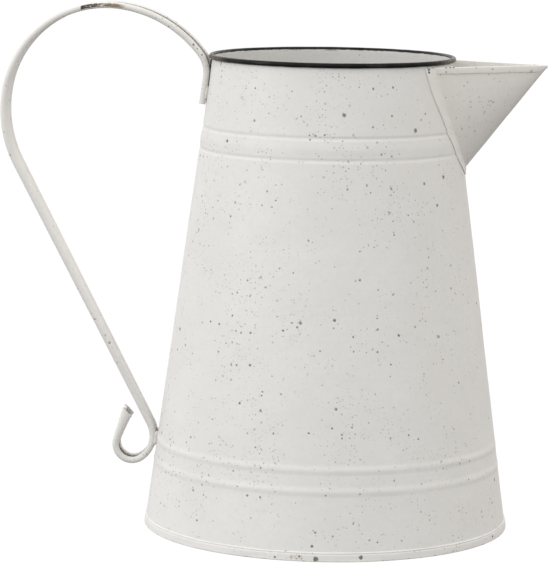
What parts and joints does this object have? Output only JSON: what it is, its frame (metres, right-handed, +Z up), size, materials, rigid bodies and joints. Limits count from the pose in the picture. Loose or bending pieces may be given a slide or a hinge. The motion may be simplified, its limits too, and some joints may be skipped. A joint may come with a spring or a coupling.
{
  "type": "watering can",
  "caption": "Conical sheet-metal watering jug with a rolled rim, swaged ridges, an open conical pouring spout and a strap handle ending in a scroll.",
  "frame": {"origin": "middle of the foot ring, on the plane that it stands on", "axes": "+Z up, +X towards the spout's tip, the handle on the -X side; the XZ plane is the jug's mirror plane"},
  "size_m": [0.2985, 0.2008, 0.287],
  "materials": {
    "white_enamel": "satin, speckled and lightly worn",
    "white_solder": "solder under the same satin paint",
    "black_rim": "gloss black",
    "solder": "dull tin solder"
  },
  "bodies": {
    "root": {"body_wall": "white_enamel", "rim_wire": "black_rim", "base_pan": "white_enamel", "base_solder": "solder", "seam_solder": "solder", "spout": "white_enamel", "spout_solder": "white_solder", "handle": "white_enamel", "handle_top_solder_near": "white_solder", "handle_top_solder_far": "white_solder", "handle_foot_solder_near": "white_solder", "handle_foot_solder_far": "white_solder"}
  },
  "joints": []
}
